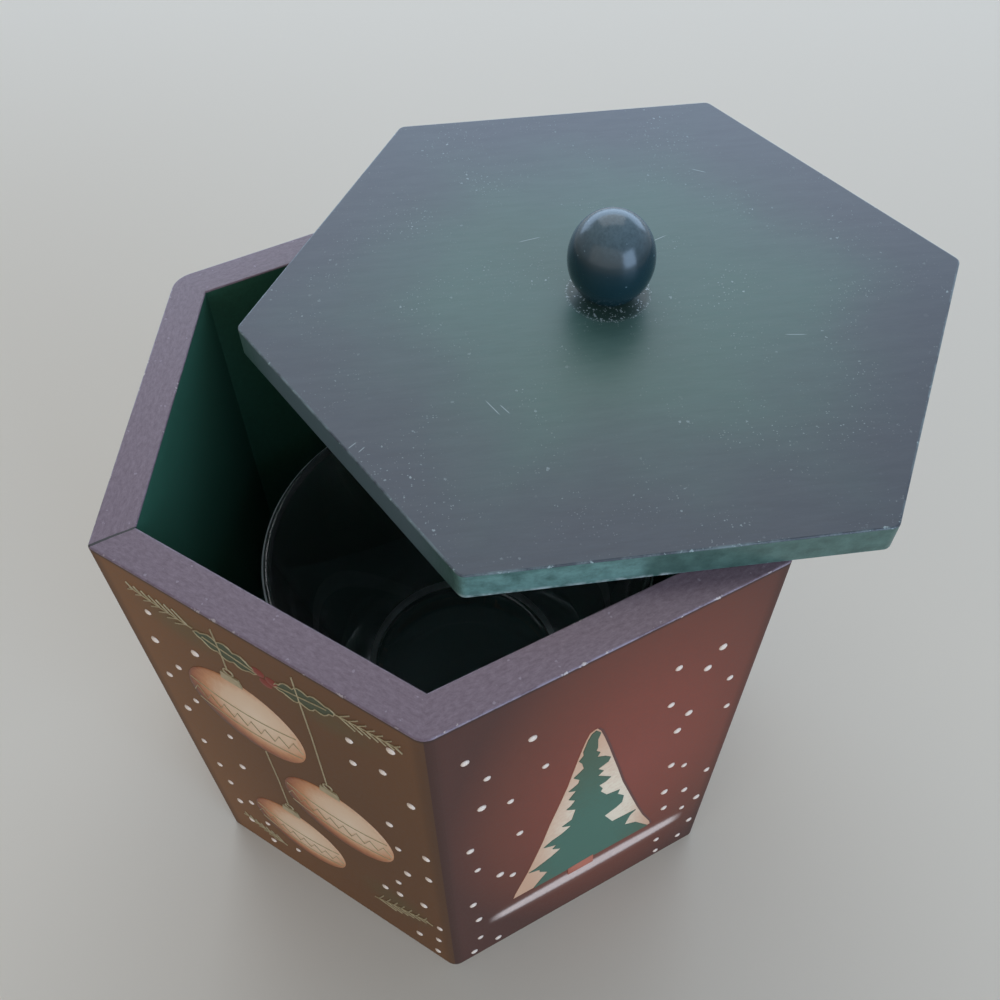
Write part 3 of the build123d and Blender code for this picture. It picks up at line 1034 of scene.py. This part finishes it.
def goldLines():
    curve = bpy.data.curves.new("gold_paths", "CURVE")
    curve.dimensions = "3D"
    for facing in facingsOf("bauble"):
        for points, closed in goldPaths():
            spline = curve.splines.new("POLY")
            spline.points.add(len(points) - 1)
            spline.use_cyclic_u = closed
            for point, (across, height, lift) in zip(spline.points, points):
                point.co = (*onBoard(facing, across, height, lift), 1.0)
    tree, add, given = geometryTree("brushLine", {"Line Radius": "NodeSocketFloat"})
    profile = add("GeometryNodeCurvePrimitiveCircle", {"Resolution": 6, "Radius": given["Line Radius"]})
    line = add("GeometryNodeCurveToMesh", {
        "Curve": given["Geometry"], "Profile Curve": profile, "Fill Caps": True})
    finishTree(add, line, goldPaint("goldLinePaint"))
    source = bpy.data.objects.new("gold_paths", curve)
    piece = growPiece("gold_lines", source, tree, {"Line Radius": baubleArt["lineRadius"] * mm})
    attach(piece, "box")


def paintBaubles():
    art = baubleArt
    facings = facingsOf("bauble")
    domedDiscs("baubles", art["balls"], facings, baublePaint())
    berry = filmPaint("berryRedPaint", art["berry"], art["berry"], (0, 120), (8, 8), facings[0])
    domedDiscs("holly_berries", [(a, h, art["berryRadius"]) for a, h in art["berries"]], facings, berry)
    leaf = filmPaint("leafOlivePaint", art["leaf"], art["leafShade"], (0, 120), (24, 14), facings[0])
    leaves = [leafOutline(*root) for root in art["leaves"]]
    paintFilm("holly_leaves", leaves, facings, art["leafThickness"], leaf)
    wide, tall = art["capHalf"], art["capHeight"]
    narrow = wide * art["capTaper"]
    caps = []
    for across, height, radius in art["balls"]:
        foot = height + radius - art["capSink"]
        caps.append([(across - wide, foot), (across + wide, foot),
                     (across + narrow, foot + tall), (across - narrow, foot + tall)])
    paintFilm("bauble_caps", caps, facings, art["capThickness"], goldPaint("goldCapPaint"))
    goldLines()


paintBaubles()
print("baubles painted")


snowLook = {  # dots of white paint: across and height on the board
    "seed": 7, "radius": 0.95, "flatness": 0.42, "smallest": 0.84, "largest": 1.1,
    "segments": 10, "rings": 6, "colour": "#fcecdd", "shade": "#ead6c5", "cloudSize": 2.5,
    "tree": ((-16.7, 117), (-30.4, 120.9), (-26.2, 109.6), (-13.5, 101.4), (-27.6, 97), (-21.2, 92.8),
             (-18.9, 72.6), (-30.7, 77.3), (-29.3, 63.8), (-23.8, 53), (-20.5, 48.2), (-31, 41.9),
             (-29.8, 28.7), (-29.7, 13.4), (-24.6, 4.5), (-31.7, 3.9), (26, 114.6), (15.6, 115.1),
             (23.5, 108.3), (31.1, 97.5), (16.1, 99.2), (21.9, 90.2), (33.2, 82.8), (20, 83.5), (21.3, 64),
             (25.6, 59.4), (34.2, 47.5), (21.6, 48.1), (28.5, 41.5), (34, 30.5), (23.1, 36.1), (29.8, 28.3),
             (34.3, 14.3), (23.9, 12.8), (31.9, 5.7), (24.9, 3.1)),
    "bauble": ((-27.4, 121.7), (-30, 109), (-17.6, 114.8), (-31.4, 93.1), (-26.3, 101), (-31, 77.8),
               (-26, 86.3), (-31.5, 60), (-19.1, 76), (-29.8, 48.4), (-19.9, 58.8), (-29, 38.4), (-29, 26.2),
               (-27.7, 14.9), (-23.8, 31.8), (-20.8, 21.3), (-21.7, 7.8), (-11.9, 14.4), (20.1, 117.9),
               (30, 124.8), (19.5, 107.5), (26.9, 112.1), (32.4, 103.2), (25.4, 84.4), (26.3, 71.4),
               (33.9, 76.8), (27.5, 57.5), (33.6, 63.2), (23.9, 45.9), (23.4, 36.4), (18.9, 34.5),
               (30.6, 40.1), (34.4, 28.4), (27.1, 10.8), (33.4, 16.9), (32.5, 5.4)),
}


# blobs of white paint set down with a stick: thick, smooth, a little glossy
def snowPaint():
    look = snowLook
    finish, add, shader, spot = measuredFinish("whiteDotPaint")
    cloud = add("TexNoise", {"Vector": spot, "Scale": 1 / look["cloudSize"], "Detail": 3.0})
    colour = layer(add, look["shade"], look["colour"], cloud.outputs["Fac"])
    setSockets(shader, {"Base Color": colour, "Roughness": 0.4, "IOR": paintIor})
    return finish


def snowDots():
    look = snowLook
    places, outwards = [], []
    for facing, scheme, end in boards.values():
        for across, height in look[scheme]:
            places.append(onBoard(facing, across, height, 0.0))
            outwards.extend(outwardOf(facing))
    mesh = bpy.data.meshes.new("dot_places")
    mesh.from_pydata(places, [], [])
    mesh.attributes.new("outward", "FLOAT_VECTOR", "POINT").data.foreach_set("vector", outwards)
    tree, add, given = geometryTree("snowDots", {
        "Dot Radius": "NodeSocketFloat", "Flatness": "NodeSocketVector", "Seed": "NodeSocketInt"})
    outward = add("GeometryNodeInputNamedAttribute", {"data_type": "FLOAT_VECTOR", "Name": "outward"})
    turn = add("FunctionNodeAlignRotationToVector", {"axis": "Z", "Vector": outward})
    blob = add("GeometryNodeMeshUVSphere", {
        "Radius": given["Dot Radius"], "Segments": look["segments"], "Rings": look["rings"]})
    low = add("GeometryNodeTransform", {"Geometry": blob, "Scale": given["Flatness"]})
    size = add("FunctionNodeRandomValue", {
        "data_type": "FLOAT", "Min": look["smallest"], "Max": look["largest"], "Seed": given["Seed"]})
    dots = add("GeometryNodeInstanceOnPoints", {
        "Points": given["Geometry"], "Instance": low, "Rotation": turn, "Scale": size})
    finishTree(add, dots, snowPaint())
    source = bpy.data.objects.new("dot_places", mesh)
    piece = growPiece("snow_dots", source, tree, {
        "Dot Radius": look["radius"] * mm, "Flatness": (1.0, 1.0, look["flatness"]),
        "Seed": look["seed"]})
    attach(piece, "box")
    print("snow dots:", len(places), "with", len(piece.data.polygons), "faces")


snowDots()


# stage, light and camera

stageLook = {
    "floor": "#dbd0bf", "floorHalf": 4.0, "sky": "#dde6f0", "skyLight": 0.34, "skySeen": 0.9,
    "lights": {  # place, aim, width and height, power, colour
        "backWindow": ((0.66, 1.14, 0.55), (0.03, 0.0, 0.12), (3.4, 0.8), 23.0, "#bfdcff"),
        "frontWindow": ((0.34, -1.16, 0.42), (0.03, 0.0, 0.12), (0.72, 0.72), 9.0, "#b6d4f7"),
        "ceiling": ((0.45, 0.86, 1.4), (0.0, 0.0, 0.1), (1.5, 1.2), 8.0, "#f4f4f6"),
        "roomFill": ((-1.2, -1.08, 0.8), (0.0, 0.0, 0.08), (3.6, 1.4), 8.2, "#fff2e2"),
    },
}
cameraLook = {
    "place": (-0.0608, -0.1361, 0.2953), "turn": (37.80, 0.29, -28.37), "focalPixels": 1057.3,
    "picturePixels": 1000, "sensor": 36.0, "clipStart": 0.01,
}


def setStage():
    look = stageLook
    half = look["floorHalf"]
    finish, shader = newFinish("paleFloor")
    setSockets(shader, {"Base Color": look["floor"], "Roughness": 0.75})
    corners = [(-half, -half, 0), (half, -half, 0), (half, half, 0), (-half, half, 0)]
    newPiece("floor", corners, [(0, 1, 2, 3)], finish, smooth=False)
    world = bpy.data.worlds.new("studio")
    world.use_nodes = True
    scene.world = world
    add = partial(addNode, world.node_tree)
    rays = add("LightPath", {}).outputs
    seen = rays["Is Camera Ray"]
    for kind in ("Is Transmission Ray", "Is Glossy Ray"):
        seen = add("Math", {"operation": "MAXIMUM", 0: seen, 1: rays[kind]})
    strength = add("MapRange", {"Value": seen, "To": (look["skyLight"], look["skySeen"])})
    setSockets(world.node_tree.nodes["Background"], {"Color": look["sky"], "Strength": strength})
    for name, (place, aim, size, power, colour) in look["lights"].items():
        light = bpy.data.lights.new(name, "AREA")
        light.shape = "RECTANGLE"
        light.size, light.size_y = size
        light.energy = power
        light.color = linearColour(colour)[:3]
        lamp = bpy.data.objects.new(name, light)
        lamp.location = place
        lamp.rotation_euler = (Vector(aim) - Vector(place)).to_track_quat("-Z", "Y").to_euler()
        scene.collection.objects.link(lamp)


def setCamera():
    look = cameraLook
    camera = bpy.data.cameras.new("photoCamera")
    camera.sensor_width = look["sensor"]
    camera.lens = look["sensor"] * look["focalPixels"] / look["picturePixels"]
    camera.clip_start = look["clipStart"]
    holder = bpy.data.objects.new("photoCamera", camera)
    holder.location = look["place"]
    holder.rotation_euler = [math.radians(angle) for angle in look["turn"]]
    scene.collection.objects.link(holder)
    scene.camera = holder


setStage()
setCamera()
print("scene ready")
